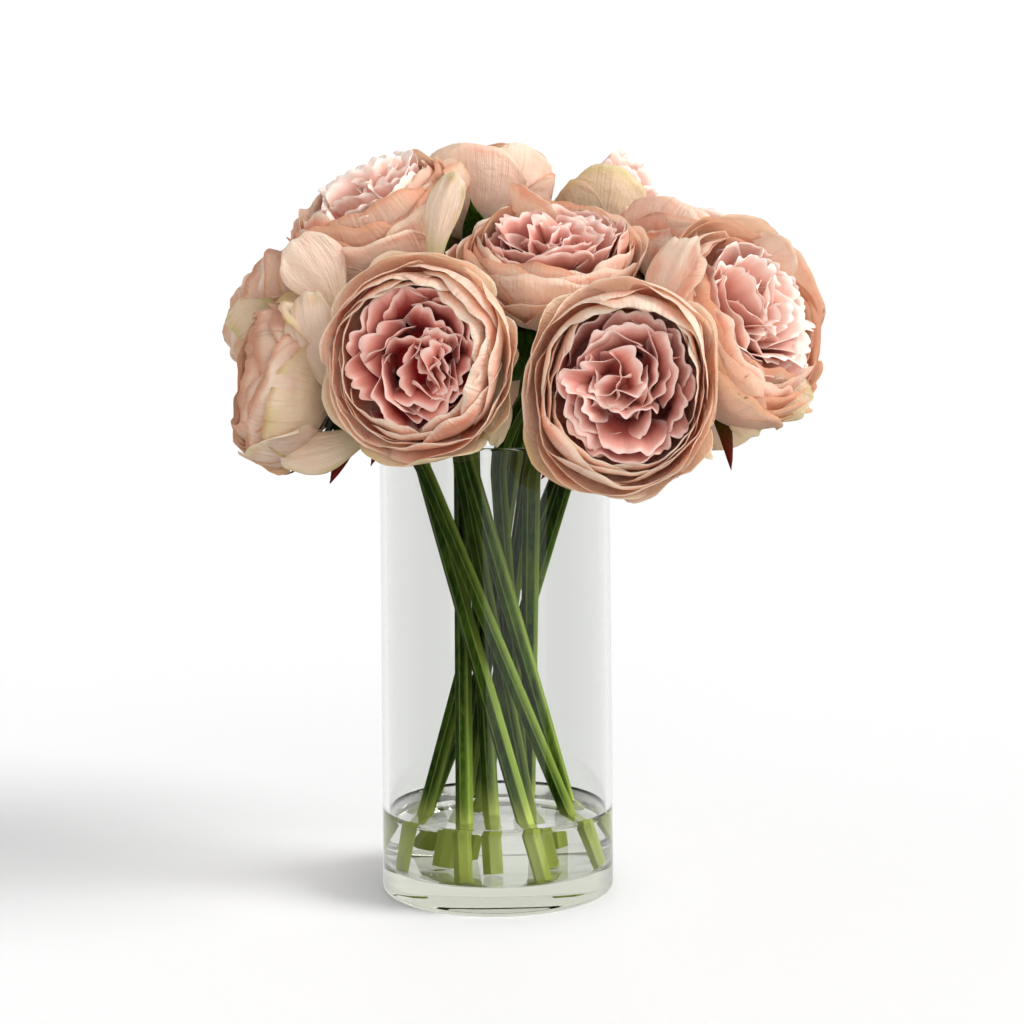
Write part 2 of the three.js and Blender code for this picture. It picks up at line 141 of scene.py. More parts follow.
# Cup petals from the inside out. Lengths are shares of the bloom's radius, apart from tuck, wave, frill and
# lip, which are millimetres. shut is the climb of the tip against the bloom's own close, and moss how
# yellow green a petal of the layer may be. round is how far the corners of the tip are rounded off.
CUP_LAYERS = [
    dict(count=5, spread=50, girth=0.775, depth=0.48, rise=0.62,
         base=-74, shut=-3, moss=0, tuck=0.7, wave=0.9, lip=0),
    dict(count=5, spread=50, girth=0.820, depth=0.53, rise=0.64,
         base=-77, shut=-6, moss=0, tuck=0.8, wave=0.9, lip=0),
    dict(count=5, spread=51, girth=0.865, depth=0.57, rise=0.65,
         base=-79, shut=-8, moss=0, tuck=0.8, wave=0.9, lip=0),
    dict(count=5, spread=51, girth=0.910, depth=0.61, rise=0.66,
         base=-80, shut=-10, moss=0.2, tuck=0.8, wave=1.2, lip=1.5),
    dict(count=4, spread=57, girth=0.955, depth=0.65, rise=0.67,
         base=-80, shut=-15, moss=0.6, tuck=0.8, wave=1.3, lip=3, round=0.3),
    dict(count=3, spread=50, girth=0.995, depth=0.69, rise=0.68,
         base=-80, shut=-22, moss=1, tuck=0.6, wave=1.5, lip=4, round=0.4),
]
# The way that single petals and hanging sepals face.
FACE = np.array([0.0, -1.0, 0.25])
# Single petals that stand apart, by bloom: root, knee, tip, half width, hollow, moss and peach.
FANS = {
    1: [((6, -80, 236), (2, -86, 215), (1, -80, 202), 6, 2, 0.9, 0.0)],
    3: [((14, -14, 294), (12, -28, 309), (22, -38, 309), 14, 3, 0.0, 1.0)],
    4: [((-24, -58, 276), (-24, -66, 298), (-14, -56, 316), 8, 2, 0.5, 0.0)],
    5: [((-66, -50, 256), (-70, -62, 275), (-83, -62, 288), 15, 3, 0.1, 0.0),
        ((-96, -24, 264), (-108, -30, 262), (-115, -22, 252), 10, 2, 0.9, 0.0)],
    6: [((-62, -64, 222), (-76, -76, 245), (-78, -66, 264), 12, 3, 0.4, 0.0),
        ((-50, -48, 210), (-68, -64, 197), (-92, -60, 198), 10, 3, 0.6, 0.1)],
    7: [((72, -62, 242), (66, -76, 262), (82, -78, 287), 10, 3, 0.0, 0.5),
        ((108, -24, 266), (120, -34, 284), (129, -36, 288), 13, 3, 0.2, 0.3),
        ((110, -44, 232), (124, -54, 222), (134, -50, 216), 12, 2, 0.9, 0.0),
        ((98, -52, 226), (108, -62, 214), (112, -58, 206), 10, 2, 0.8, 0.1)],
    10: [((76, -12, 270), (70, -24, 284), (79, -20, 297), 12, 3, 0.0, 1.0)],
}
# Sepals that hang clear, by bloom: knee, tip and half width.
LEAVES = {
    6: [((-56, -46, 212), (-70, -50, 186), 6)],
    7: [((100, -40, 222), (102, -46, 190), 4.5)],
    2: [((34, -60, 208), (20, -62, 187), 5)],
    1: [((-44, -58, 214), (-52, -56, 193), 4)],
}
# What all the loose petals share.
LOOSE = dict(depth=0.70, rise=0.68, base=-80, tuck=0.5, wave=1.6, round=0.4)
LOOSE_ROOM = 0.5  # that they keep from the planes between blooms
OUTSIDE = 0.05  # least moss of an outer petal, which tells it from an inner one
# Faces across and along one petal.
CUP_GRID = (20, 12)
HEART_GRID = (26, 8)
LEAF_GRID = (6, 14)

# Rings of heart petals from the outside in: count, how far out and how high the crest is, how far it leans
# out from its root and half its width, all as shares of the radius, then how closely it follows the ring
# (1 is exactly) and how far it may be turned from it (degrees).
HEART_RINGS = [
    dict(count=8, out=0.77, high=0.26, lean=0.28, half=0.40, bend=0.95, yaw=8),
    dict(count=6, out=0.61, high=0.27, lean=0.25, half=0.40, bend=0.8, yaw=26),
    dict(count=6, out=0.47, high=0.29, lean=0.27, half=0.38, bend=0.6, yaw=45),
    dict(count=5, out=0.31, high=0.31, lean=0.26, half=0.36, bend=0.4, yaw=65),
    dict(count=4, out=0.15, high=0.30, lean=0.22, half=0.32, bend=0.3, yaw=90),
]
DOME = 0.9  # how much of a bloom's lift reaches the middle of its heart
HEART_REACH = 0.77  # how far out the heart may spread, as a share of the radius


# ---- Mesh helpers ----

def smooth_step(x):
    x = np.clip(x, 0, 1)
    return x * x * (3 - 2 * x)


def turned_faces(rings, sides):
    """Faces of a closed turned shape with this many rings between its two ends on the axis."""
    faces = []
    last = 1 + sides * rings
    for k in range(sides):
        m = (k + 1) % sides
        faces.append((0, 1 + m, 1 + k))
        for row in range(rings - 1):
            low = 1 + row * sides
            faces.append((low + k, low + m, low + sides + m, low + sides + k))
        top = last - sides
        faces.append((top + k, top + m, last))
    return faces


class Cloth:
    """Gathers blades and shells, in millimetres, into one mesh with its own marks on every corner."""

    def __init__(self):
        self.places = []
        self.faces = []
        self.marks = []
        self.rounded = []
        self.start = 0

    def add(self, places, faces, marks, rounded=True):
        """marks holds six numbers for each point: across, along, edge, tint, blush and moss, which on a stem
        holds its painted lit side.
        """
        self.places.append(places)
        self.faces.append(faces + self.start)
        self.marks.append(marks)
        self.rounded.append(np.full(len(faces), rounded))
        self.start += len(places)

    def blade(self, middle, thickness, tint, blush=0.0, moss=0.0, along_from=0.0):
        """A thin closed blade on a grid of points, tapered to a fine edge all round."""
        rows, columns = middle.shape[:2]
        slope = np.cross(np.gradient(middle, axis=1), np.gradient(middle, axis=0))
        slope /= np.linalg.norm(slope, axis=2, keepdims=True) + 1e-12
        across = np.linspace(-1, 1, columns)[None, :] * np.ones((rows, 1))
        along = np.linspace(0, 1, rows)[:, None] * np.ones((1, columns))
        taper = np.ones((rows, columns))
        taper[-1, :] = 0.3
        taper[:, 0] = 0.3
        taper[:, -1] = 0.3
        half = slope * (taper * thickness / 2)[..., None]
        places = np.concatenate([(middle + half).reshape(-1, 3), (middle - half).reshape(-1, 3)])
        n = rows * columns
        grid = np.arange(n).reshape(rows, columns)
        a, b = grid[:-1, :-1].ravel(), grid[:-1, 1:].ravel()
        c, d = grid[1:, 1:].ravel(), grid[1:, :-1].ravel()
        ring = np.concatenate([grid[0, :], grid[1:, -1], grid[-1, -2::-1], grid[-2:0:-1, 0]])
        after = np.roll(ring, -1)
        faces = np.concatenate([
            np.stack([a, b, c, d], 1),
            np.stack([d, c, b, a], 1) + n,
            np.stack([after, ring, ring + n, after + n], 1),
        ])
        edge = np.maximum(np.abs(across) ** 5, along ** 7)
        same = np.ones_like(edge)
        marks = np.stack([across, along + along_from, edge, tint * same, blush * same, moss * same], 2)
        marks = marks.reshape(-1, 6)
        self.add(places, faces, np.concatenate([marks, marks]))

    def shell(self, profile, sides, place, along, tint=0.0, blush=0.0):
        """A closed turned shape from (radius, height) points that start and end on the axis."""
        turns = np.arange(sides) * 2 * math.pi / sides
        ring = np.stack([np.cos(turns), np.sin(turns), np.zeros(sides)], 1)
        places = [np.array([[0, 0, profile[0][1]]])]
        places += [ring * r + np.array([0, 0, h]) for r, h in profile[1:-1]]
        places += [np.array([[0, 0, profile[-1][1]]])]
        places = place(np.concatenate(places))
        faces = [(*face, face[-1])[:4] for face in turned_faces(len(profile) - 2, sides)]
        marks = np.tile(np.array([[0, along, 0, tint, blush, 0]], float), (len(places), 1))
        self.add(places, np.array(faces), marks)

    def mesh(self, name):
        """One mesh of all that was added. A face whose last two corners are the same is a triangle."""
        places = np.concatenate(self.places) * MM
        faces = np.concatenate(self.faces)
        marks = np.concatenate(self.marks)
        mesh = bpy.data.meshes.new(name)
        triangle = faces[:, 2] == faces[:, 3]
        counts = np.where(triangle, 3, 4)
        starts = np.concatenate([[0], np.cumsum(counts)[:-1]])
        loops = faces.ravel()[np.stack([np.ones_like(triangle)] * 3 + [~triangle], 1).ravel()]
        mesh.vertices.add(len(places))
        mesh.vertices.foreach_set("co", places.astype(np.float32).ravel())
        mesh.loops.add(len(loops))
        mesh.loops.foreach_set("vertex_index", loops.astype(np.int32))
        mesh.polygons.add(len(faces))
        mesh.polygons.foreach_set("loop_start", starts.astype(np.int32))
        mesh.update(calc_edges=True)
        mesh.polygons.foreach_set("use_smooth", np.concatenate(self.rounded))
        chart = mesh.uv_layers.new(name="petal_chart")
        flat = np.stack([marks[:, 0] * 0.5 + 0.5, marks[:, 1]], 1)[loops]
        chart.data.foreach_set("uv", flat.astype(np.float32).ravel())
        for column, mark in ((2, "edge"), (3, "tint"), (4, "blush"), (5, "moss")):
            held = mesh.attributes.new(mark, "FLOAT", "POINT")
            held.data.foreach_set("value", marks[:, column].astype(np.float32))
        mesh.validate()
        return mesh


def finished(mesh, name, material, slot, *nodes):
    """An object that rides on the frame and stands for its CAD nodes."""
    piece = bpy.data.objects.new(name, mesh)
    bpy.context.scene.collection.objects.link(piece)
    mesh.materials.clear()
    mesh.materials.append(material)
    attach(piece, "root")
    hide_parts(*nodes)
    return piece


# ---- Where each bloom sits ----

class Bloom:
    """One bloom's frame, and how it gives way to its neighbours."""

    def __init__(self, number, row):
        self.number = number
        self.row = row
        self.radius = row["radius"]
        self.centre = np.array(row["at"], float)
        facing = Vector(row["facing"]).normalized()
        self.facing = np.array(facing)
        turn = Quaternion((0, 0, 1), math.radians(row["turn"]))
        self.turn = np.array((Vector((0, 0, 1)).rotation_difference(facing) @ turn).to_matrix())
        self.calyx = self.centre - self.facing * CENTRE_HEIGHT * self.radius
        self.chance = np.random.default_rng(FIRST_SEED + number)

    def place(self, local):
        """Points from the bloom's own frame, calyx at the origin and facing +Z, to the object's."""
        return local @ self.turn.T + self.calyx

    def local(self, direction):
        """A direction in the bloom's own frame."""
        return self.turn.T @ np.array(direction, float)

    def walls(self):
        """Planes that the bloom stays behind: one towards each neighbour and one at the vase."""
        found = []
        for row in BLOOMS:
            apart = np.array(row["at"], float) - self.centre
            distance = np.linalg.norm(apart)
            touching = self.radius + row["radius"]
            if 0 < distance <= 1.3 * touching:
                found.append((apart / distance, distance * self.radius / touching - CELL_GAP))
        out = math.hypot(self.centre[0], self.centre[1])
        held = min(out, VASE_RADIUS) / out
        edge = np.array([self.centre[0] * held, self.centre[1] * held, min(self.centre[2], VASE_HEIGHT)])
        apart = edge - self.centre
        distance = np.linalg.norm(apart)
        found.append((apart / distance, distance - RIM_GAP))
        for towards, reach in self.row.get("held", ()):
            found.append((np.array(towards, float) / np.linalg.norm(towards), reach))
        return found

    def settle(self, points, margin):
        """Points drawn in towards the bloom's middle where it presses against a neighbour."""
        arm = points - self.centre
        length = np.linalg.norm(arm, axis=1) + 1e-9
        along = arm @ self.facing / length
        extent = (self.radius + 2) / np.sqrt(1 - along ** 2 + (along / POLE_SHARE) ** 2)
        nearest = np.full(len(points), 1e9)
        crowding = np.ones(len(points))
        for normal, reach in self.walls():
            cosine = np.maximum(arm @ normal / length, 0.02)
            nearest = np.minimum(nearest, (reach - margin) / cosine)
            crowding += (extent * cosine / reach) ** PRESS_POWER
        share = np.minimum(crowding ** (-1 / PRESS_POWER), nearest / length)
        return self.centre + arm * share[:, None]

    def settled(self, grid, margin):
        """The same for a grid of points in the bloom's own frame."""
        return self.settle(self.place(grid.reshape(-1, 3)), margin).reshape(grid.shape)


# ---- Petals ----

def petal_grid(columns, rows):
    """Places across a petal, from -1 to 1, and along it, from 0 to 1."""
    return np.linspace(-1, 1, columns + 1)[None, :], np.linspace(0, 1, rows + 1)[:, None]


def phase(chance):
    """Where in its turn a wave starts."""
    return chance.uniform(0, 6.3)


def bent_line(root, knee, tip, reach):
    """Points from root to tip on a curve that is drawn towards knee."""
    return root * (1 - reach) ** 2 + knee * 2 * reach * (1 - reach) + tip * reach ** 2


def way_across(root, tip):
    """The direction across a petal whose face is to the front."""
    side = np.cross(tip - root, FACE)
    return side / np.linalg.norm(side)


def stood(out, side, up, angle):
    """Points so far out from the axis, to the side and up, turned about the axis by angle."""
    return np.stack([
        out * math.cos(angle) - side * math.sin(angle),
        out * math.sin(angle) + side * math.cos(angle),
        up,
    ], 2)


def waves(chance, across, turns, size):
    """A few sines of random phase across a petal."""
    total = np.zeros_like(across)
    for k, turn in enumerate(turns):
        total += np.sin(turn * across + chance.uniform(0, 2 * math.pi)) * size / (k + 1)
    return total


def scallops(chance, across, lobes):
    """Rounded lobes with sharp notches between them."""
    return np.sqrt(np.abs(np.cos(lobes * math.pi / 2 * across + chance.uniform(-0.8, 0.8)))) - 0.7


def round_petal(bloom, layer, angle, tip):
    """A broad petal that follows the bloom's round form and ends at the climb tip."""
    chance, radius = bloom.chance, bloom.radius
    s, t = petal_grid(*CUP_GRID)
    outline = waves(chance, s, (3, 6, 13), 0.032) - layer.get("round", 0.16) * np.abs(s) ** 3
    outline = outline + 0.05 * chance.uniform(-1, 1)
    reach = t * (1 + outline * t ** 1.5)
    climb = np.radians(layer["base"] + (tip - layer["base"]) * reach)
    spread = math.radians(layer["spread"] * chance.uniform(0.9, 1.08))
    width = (0.36 + 0.64 * smooth_step(t / 0.6)) * (1 - 0.1 * t ** 4)
    around = angle + spread * width * s + 0.12 * chance.uniform(-1, 1) * t
    ripple = layer["wave"] * t ** 2 * np.sin(chance.uniform(0.7, 1.6) * math.pi * s + phase(chance))
    frill = t ** 4 * waves(chance, s, (7, 12, 19), 0.5)
    crumple = 0.42 * t * np.sin(5.5 * s + 2 * t + phase(chance)) * np.sin(6 * t + phase(chance))
    sag = 0.35 * np.sin(2.3 * math.pi * t + phase(chance)) * np.cos(1.4 * s + phase(chance)) * t
    curl = layer["lip"] * chance.uniform(0.4, 1.3) * t ** 5
    side_curl = 0.9 * chance.uniform(-0.4, 1) * np.abs(s) ** 6 * t
    out = radius * layer["girth"] * np.cos(climb) + layer["tuck"] * s
    out = out + ripple + frill + sag + crumple + curl + side_curl
    height = np.where(climb < 0, layer["depth"], layer["rise"])
    up = radius * (CENTRE_HEIGHT + height * np.sin(climb)) - np.maximum(curl, 0) * 0.25
    return np.stack([out * np.cos(around), out * np.sin(around), up], 2)


def fan_petal(chance, root, knee, tip, half, cup):
    """A single petal that fans out from root to tip, its face to the front and hollowed by cup."""
    root, knee, tip = (np.array(p, float) for p in (root, knee, tip))
    s, t = petal_grid(*CUP_GRID)
    reach = (t * (1 + t ** 1.5 * (waves(chance, s, (3, 6, 13), 0.03) - 0.24 * np.abs(s) ** 3)))[..., None]
    line = bent_line(root, knee, tip, reach)
    ahead = (knee - root) * (1 - reach) + (tip - knee) * reach
    ahead /= np.linalg.norm(ahead, axis=2, keepdims=True) + 1e-9
    side = way_across(root, tip)
    face = np.cross(side, ahead)
    width = half * (0.4 + 0.6 * smooth_step(t / 0.75)) * (1 - 0.1 * t ** 4)
    ripple = t ** 2 * waves(chance, s, (3, 7, 12), 0.9) - cup * s ** 2 * smooth_step(t / 0.5) + 1.5 * t ** 6
    return line + side * (s * width)[..., None] + face * ripple[..., None]


def hanging_leaf(root, knee, tip, half):
    """A pointed leaf from root to tip."""
    root, knee, tip = (np.array(p, float) for p in (root, knee, tip))
    s, t = petal_grid(*LEAF_GRID)
    line = bent_line(root, knee, tip, t[..., None])
    side = way_across(root, tip)
    face = np.cross(side, tip - root) / np.linalg.norm(tip - root)
    width = half * np.sin(math.pi * (0.1 + 0.9 * t) ** 0.9) ** 0.8
    return line + side * (s * width)[..., None] - face * (0.25 * half * s ** 2)[..., None]


def heart_petal(bloom, angle, ring):
    """A scalloped fin that rises from deep in the heart and leans outwards to its crest."""
    chance, radius = bloom.chance, bloom.radius
    s, t = petal_grid(*HEART_GRID)
    out = ring["out"] * chance.uniform(0.9, 1.04)
    half = ring["half"] * chance.uniform(0.75, 1.15)
    lift = (bloom.row["lift"] - 1) * DOME * (1 - out / 0.95)
    high = CENTRE_HEIGHT + ring["high"] + lift + chance.uniform(-0.12, 0.06)
    low = PAD_SHARE + 0.06
    outline = 0.1 * scallops(chance, s, chance.uniform(2.6, 5.6)) - 0.34 * np.abs(s) ** 4
    outline = outline + waves(chance, s, (2.5, 5), 0.03)
    reach = t * (1 + outline * t ** 2)
    width = radius * half * (0.35 + 0.65 * smooth_step(t / 0.8)) * (1 - 0.08 * t ** 5)
    bend = min(half / out * ring["bend"] * chance.uniform(0.6, 1.3), 1.3)
    side = width * np.sin(bend * s) / bend
    inward = width * (1 - np.cos(bend * s)) / bend
    inward = inward + radius * t ** 2 * waves(chance, s, (2.4, 5.5, 11), chance.uniform(0.03, 0.075))
    turn = math.radians(ring["yaw"] * chance.uniform(-1, 1))
    across = side * math.cos(turn) - inward * math.sin(turn)
    inward = side * math.sin(turn) + inward * math.cos(turn)
    lean = ring["lean"] * chance.uniform(0.3, 1.4)
    from_axis = radius * (out - lean * (1 - reach ** chance.uniform(1.1, 2.4))) - inward
    up = radius * (low + (high - low) * (1 - (1 - np.minimum(reach, 1.0)) ** chance.uniform(1.1, 1.5)))
    up = up + radius * (high - low) * np.maximum(reach - 1, 0) * 0.6
    return stood(from_axis, across, up, angle)


def make_cup(bloom, material):
    """Rings of broad petals, the loose and single ones outside them, and the pad that they grow from."""
    cloth = Cloth()
    chance, row = bloom.chance, bloom.row
    hood = bloom.local(row.get("hood", (0, 0, 0)))
    outermost = len(CUP_LAYERS) - 1
    for number, layer in enumerate(CUP_LAYERS):
        step = 2 * math.pi / layer["count"]
        for k in range(layer["count"]):
            angle = step * (k + 0.5 * (number % 2) + 0.12 * chance.uniform(-1, 1))
            tip = row["close"] + layer["shut"] + chance.uniform(-5, 5)
            tip += HOOD_CLIMB * (hood[0] * math.cos(angle) + hood[1] * math.sin(angle))
            grid = round_petal(bloom, layer, angle, tip)
            grid = bloom.settled(grid, SEPAL_ROOM + LAYER_ROOM * (outermost - number))
            inner = 0.18 * (1 - number / outermost)
            blush = np.clip(row["peach"] + inner + 0.22 * chance.uniform(-1, 1), 0, 1)
            moss = layer["moss"] * row["moss"] * chance.uniform(0, 1.3)
            moss = max(moss, OUTSIDE) if layer["moss"] else 0
            cloth.blade(grid, CLOTH, chance.uniform(*row.get("tones", (0.2, 1))), blush, moss)
    for towards, tip, spread, girth, lip, moss, peach in row.get("loose", ()):
        place = bloom.local(towards)
        layer = dict(LOOSE, spread=spread, girth=girth, lip=lip)
        grid = bloom.settled(round_petal(bloom, layer, math.atan2(place[1], place[0]), tip), LOOSE_ROOM)
        cloth.blade(grid, CLOTH, chance.uniform(0.3, 0.8), peach, max(moss, OUTSIDE))
    for root, knee, tip, half, cup, moss, peach in FANS.get(bloom.number, ()):
        grid = fan_petal(chance, root, knee, tip, half, cup)
        cloth.blade(grid, CLOTH, chance.uniform(0.6, 1), peach, max(moss, OUTSIDE))
    pad_top = PAD_SHARE * bloom.radius
    cloth.shell([(0, GAP), (7.5, GAP), (9.2, 3), (8.6, pad_top), (0, pad_top)], 24, bloom.place, 0.02)
    name = f"Cup_Petals_{bloom.number:02d}"
    finished(cloth.mesh(name), name, material, "outer_petals", name.lower())


def make_heart(bloom, material):
    """Rings of scalloped fins, kept inside the cup, round a bud that closes the middle."""
    cloth = Cloth()
    chance, radius, pink = bloom.chance, bloom.radius, bloom.row["pink"]
    drift = bloom.local(bloom.row.get("drift", (0, 0, 0)))[:2]
    rim = math.sin(math.radians(bloom.row["close"] + CUP_LAYERS[0]["shut"]))
    start = chance.uniform(0, 2 * math.pi)
    for number, ring in enumerate(HEART_RINGS):
        step = 2 * math.pi / ring["count"]
        for k in range(ring["count"]):
            angle = start + step * (k + 0.5 * (number % 2) + 0.3 * chance.uniform(-1, 1))
            grid = heart_petal(bloom, angle, ring)
            shift = drift * radius * (1 - ring["out"] / 0.8)
            grid[..., :2] += shift * smooth_step(grid[..., 2:] / radius - 0.2)
            rise = np.clip((grid[..., 2] / radius - CENTRE_HEIGHT) / CUP_LAYERS[0]["rise"], 0, rim)
            crowd = np.hypot(grid[..., 0], grid[..., 1]) / (HEART_REACH * radius * np.sqrt(1 - rise ** 2))
            grid[..., :2] *= ((1 + crowd ** 16) ** (-1 / 16))[..., None]
            blush = np.clip(pink + 0.14 * chance.uniform(-1, 1), 0, 1)
            cloth.blade(bloom.settled(grid, HEART_ROOM), CLOTH, chance.uniform(), blush)
    bottom, middle = PAD_SHARE * radius + GAP, CENTRE_HEIGHT * radius
    bud = [(0, bottom), (radius * 0.2, bottom), (radius * 0.3, middle - 8), (radius * 0.12, middle - 1)]
    bud.append((0, middle))
    cloth.shell(bud, 20, bloom.place, 0.05, 0.5, pink)
    name = f"Heart_Petals_{bloom.number:02d}"
    finished(cloth.mesh(name), name, material, "inner_petals", name.lower())


# ---- Stems ----

def stem_line(bloom):
    """Points up the middle of a stem: straight from the vase's floor, then curved to its calyx."""
    ring = OUTER_RING if bloom.row["stem"] < INNER_RING["first"] else INNER_RING
    turn = math.radians(ring["first_angle"] + 360 / ring["stems"] * (bloom.row["stem"] - ring["first"]))
    waist = np.array([math.cos(turn), math.sin(turn), 0]) * WAIST_RADIUS * ring["share"]
    lean = np.array([math.sin(turn), -math.cos(turn), 0]) * SPREAD * ring["share"] + np.array([0, 0, 1])

    def at(height):
        point = waist + lean * (height - WAIST_HEIGHT)
        point[2] = height
        return point

    start, end = at(BEND_HEIGHT), bloom.calyx - bloom.facing * CALYX_NECK
    pull = np.linalg.norm(end - start) * NECK_PULL
    first = start + lean / np.linalg.norm(lean) * pull
    second = end - bloom.facing * pull
    t = np.linspace(0, 1, 28)[:, None]
    neck = (1 - t) ** 3 * start + 3 * t * (1 - t) ** 2 * first + 3 * t ** 2 * (1 - t) * second + t ** 3 * end
    straight = np.array([at(h) for h in np.linspace(FLOOR + GAP, BEND_HEIGHT, 24)[:-1]])
    top = bloom.calyx - bloom.facing * (CALYX_NECK - 4)
    return np.concatenate([straight, neck, top[None, :]])


class Tree:
    """A Geometry Nodes tree with named inputs."""

    def __init__(self, name, inputs):
        self.tree = bpy.data.node_groups.new(name, "GeometryNodeTree")
        self.tree.interface.new_socket("Geometry", in_out="INPUT", socket_type="NodeSocketGeometry")
        self.keys = {}
        for label, kind in inputs.items():
            socket = self.tree.interface.new_socket(label, in_out="INPUT", socket_type=kind)
            self.keys[label] = socket.identifier
        self.tree.interface.new_socket("Geometry", in_out="OUTPUT", socket_type="NodeSocketGeometry")
        self.given = self.tree.nodes.new("NodeGroupInput")
        self.result = self.tree.nodes.new("NodeGroupOutput")

    def node(self, kind, settings=None, sockets=None, output=0):
        made = self.tree.nodes.new(kind)
        for key, value in (settings or {}).items():
            setattr(made, key, value)
        for key, value in (sockets or {}).items():
            if isinstance(value, bpy.types.NodeSocket):
                self.tree.links.new(value, made.inputs[key])
            else:
                made.inputs[key].default_value = value
        return made.outputs[output]

    def finish(self, geometry):
        self.tree.links.new(geometry, self.result.inputs[0])
        return self

    def applied(self, mesh, values):
        """The plain mesh that the tree makes of mesh with these input values."""
        maker = bpy.data.objects.new("maker", mesh)
        bpy.context.scene.collection.objects.link(maker)
        modifier = maker.modifiers.new("make", "NODES")
        modifier.node_group = self.tree
        for label, value in values.items():
            modifier[self.keys[label]] = value
        depsgraph = bpy.context.evaluated_depsgraph_get()
        result = bpy.data.meshes.new_from_object(maker.evaluated_get(depsgraph), depsgraph=depsgraph)
        maker.modifiers.remove(modifier)
        bpy.data.objects.remove(maker)
        return result


def ribbed_stem_tree():
    """Sweeps a ribbed round section along a line of points, and keeps how far along each corner is."""
    tree = Tree("ribbed_stem", {
        "Radius": "NodeSocketFloat",
        "Ribs": "NodeSocketInt",
        "Rib Depth": "NodeSocketFloat",
        "Skin": "NodeSocketMaterial",
    })
    given = tree.given.outputs
    line = tree.node("GeometryNodeMeshToCurve", sockets={0: given["Geometry"]})
    along = tree.node("GeometryNodeSplineParameter")
    line = tree.node("GeometryNodeStoreNamedAttribute", {"data_type": "FLOAT", "domain": "POINT"},
                     {"Geometry": line, "Name": "along", "Value": along})
    ring = tree.node("GeometryNodeCurvePrimitiveCircle",
                     sockets={"Resolution": STEM_SIDES, "Radius": given["Radius"]})
    position = tree.node("GeometryNodeInputPosition")
    parts = tree.node("ShaderNodeSeparateXYZ", sockets={0: position})
    x, y = parts, parts.node.outputs[1]
    angle = tree.node("ShaderNodeMath", {"operation": "ARCTAN2"}, {0: y, 1: x})
    halved = tree.node("ShaderNodeMath", {"operation": "MULTIPLY"}, {0: angle, 1: 0.5})
    turned = tree.node("ShaderNodeMath", {"operation": "MULTIPLY"}, {0: halved, 1: given["Ribs"]})
    wave = tree.node("ShaderNodeMath", {"operation": "SINE"}, {0: turned})
    flat = tree.node("ShaderNodeMath", {"operation": "ABSOLUTE"}, {0: wave})
    depth = tree.node("ShaderNodeMath", {"operation": "MULTIPLY"}, {0: flat, 1: given["Rib Depth"]})
    size = tree.node("ShaderNodeMath", {"operation": "SUBTRACT"}, {0: 1.0, 1: depth})
    ribbed = tree.node("ShaderNodeVectorMath", {"operation": "SCALE"}, {0: position, "Scale": size})
    ring = tree.node("GeometryNodeStoreNamedAttribute", {"data_type": "FLOAT", "domain": "POINT"},
                     {"Geometry": ring, "Name": "rib", "Value": flat})
    ring = tree.node("GeometryNodeSetPosition", sockets={"Geometry": ring, "Position": ribbed})
    swept = tree.node("GeometryNodeCurveToMesh",
                      sockets={"Curve": line, "Profile Curve": ring, "Fill Caps": True})
    whole = tree.node("GeometryNodeRealizeInstances", sockets={0: swept})
    skinned = tree.node("GeometryNodeSetMaterial", sockets={"Geometry": whole, "Material": given["Skin"]})
    return tree.finish(skinned)


def sepal(bloom, angle, length, half_width, flare):
    """A pointed sepal that hugs the outer petals and turns away at its tip."""
    chance = bloom.chance
    s, t = petal_grid(*LEAF_GRID)
    climb = np.radians(-84 + length * t)
    width = half_width * np.sin(math.pi * (0.14 + 0.86 * t) ** 0.9) ** 0.8 * (1 - t ** 3)
    side = s * width
    reach = bloom.radius + 2.6 + flare * t ** 2 + 0.05 * side ** 2 / half_width
    out = reach * np.cos(climb) - 0.35 * np.abs(s) * (1 - t)
    up = bloom.radius * CENTRE_HEIGHT + 0.74 * reach * np.sin(climb)
    sway = 1.6 * np.sin(2.5 * t + phase(chance)) * t
    return stood(out, side + sway, up, angle)


